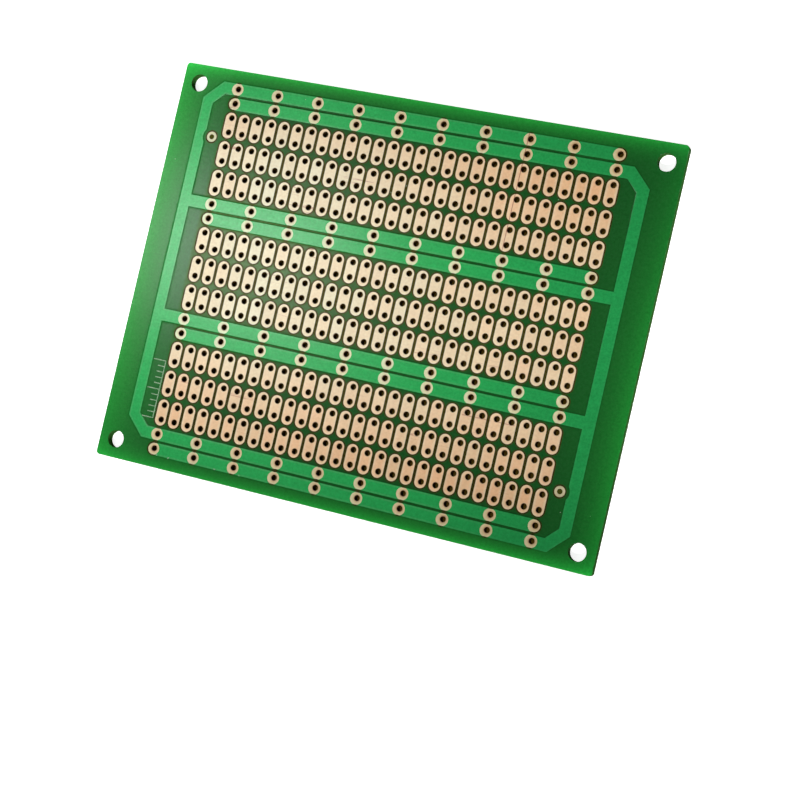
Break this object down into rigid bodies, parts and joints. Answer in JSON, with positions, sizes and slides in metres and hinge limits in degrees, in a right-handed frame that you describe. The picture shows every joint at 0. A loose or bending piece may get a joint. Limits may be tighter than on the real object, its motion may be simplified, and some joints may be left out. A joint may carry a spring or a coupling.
{
  "type": "bare circuit board",
  "caption": "Rectangular single-sided prototype board: green-masked glass-epoxy with drilled two-hole pads, comb-shaped power tracks and corner mounting holes.",
  "frame": {"origin": "centre of the bare back face, on the surface the board lies on", "axes": "+X along the power fingers and the long side, +Y across them, +Z out of the copper side"},
  "size_m": [0.09, 0.07, 0.0017],
  "materials": {
    "glass_epoxy": "pale yellow-green glass-epoxy with a woven, slightly glossy back",
    "copper_foil": "copper foil, covered by the mask but for its round solder points",
    "pad_copper": "pale copper pads under a thin clear flux coat, satin",
    "green_mask": "semi-gloss green solder mask, lighter over copper"
  },
  "bodies": {
    "root": {"laminate": "glass_epoxy", "left_power_track": "copper_foil", "right_power_track": "copper_foil", "bank_1_pads": "pad_copper", "bank_2_pads": "pad_copper", "bank_3_pads": "pad_copper", "left_target": "pad_copper", "right_target": "pad_copper", "solder_mask": "green_mask"}
  },
  "joints": []
}
